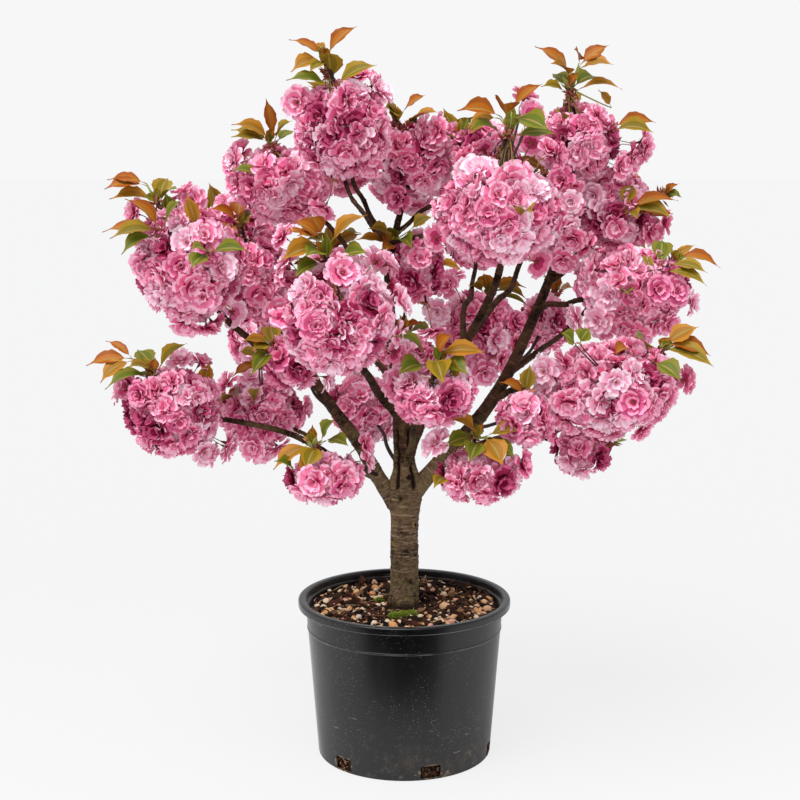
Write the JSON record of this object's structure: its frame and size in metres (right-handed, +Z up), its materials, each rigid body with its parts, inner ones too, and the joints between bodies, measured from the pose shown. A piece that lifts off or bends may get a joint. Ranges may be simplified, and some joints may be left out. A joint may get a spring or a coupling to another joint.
{
  "type": "potted flowering cherry tree",
  "caption": "Small ornamental cherry tree in full double pink blossom with young bronze leaves, standing in a black plastic nursery pot of bark-based potting mix.",
  "frame": {"origin": "middle of the pot's flat underside, on the surface that the pot stands on", "axes": "+Z up along the trunk, +X to the tree's right and +Y to its back, as it is seen from the front"},
  "size_m": [1.0222, 0.759, 1.2062],
  "materials": {
    "pot_plastic": "satin",
    "potting_mix": "matte",
    "bark": "matte",
    "blossom": "matte",
    "leaves": "matte",
    "twigs": "matte",
    "pebbles": "matte",
    "moss": "matte"
  },
  "bodies": {
    "root": {"pot": "pot_plastic", "soil": "potting_mix", "trunk": "bark", "bough_leader": "bark", "bough_left_main": "bark", "bough_right_main": "bark", "bough_left_high": "bark", "bough_left_low": "bark", "bough_left_shoulder": "bark", "bough_front_left": "bark", "bough_crown_left": "bark", "bough_crown_inner": "bark", "bough_front_middle": "bark", "bough_centre_right": "bark", "bough_right_behind": "bark", "bough_right_low": "bark", "bough_right_spray": "bark", "bough_right_high": "bark", "bough_right_shoulder": "bark", "bough_inner_right": "bark", "bough_back_middle_left": "bark", "bough_back_left_high": "bark", "bough_back_crown_left": "bark", "bough_back_crown_right": "bark", "bough_back_middle_right": "bark", "bough_back_right_high": "bark", "bough_left_spray": "bark", "blossom_left_high": "blossom", "blossom_left_low": "blossom", "blossom_left_shoulder": "blossom", "blossom_crown_left": "blossom", "blossom_crown_middle": "blossom", "blossom_front_right": "blossom", "blossom_crown_inner": "blossom", "blossom_crown_right": "blossom", "blossom_right_shoulder": "blossom", "blossom_right_high": "blossom", "blossom_right_low": "blossom", "blossom_right_hanging": "blossom", "blossom_right_inner": "blossom", "blossom_front_left": "blossom", "blossom_left_inner": "blossom", "blossom_front_middle": "blossom", "blossom_low_left": "blossom", "blossom_low_right": "blossom", "blossom_inner_right": "blossom", "blossom_back_right_low": "blossom", "blossom_left_behind": "blossom", "blossom_left_low_inner": "blossom", "blossom_low_back_left": "blossom", "blossom_inner_middle": "blossom", "blossom_right_behind": "blossom", "blossom_back_left_low": "blossom", "blossom_back_left_high": "blossom", "blossom_back_crown_left": "blossom", "blossom_back_crown_right": "blossom", "blossom_back_right_high": "blossom", "blossom_back_middle_left": "blossom", "blossom_back_middle_right": "blossom", "blossom_back_low": "blossom"}
  },
  "joints": []
}
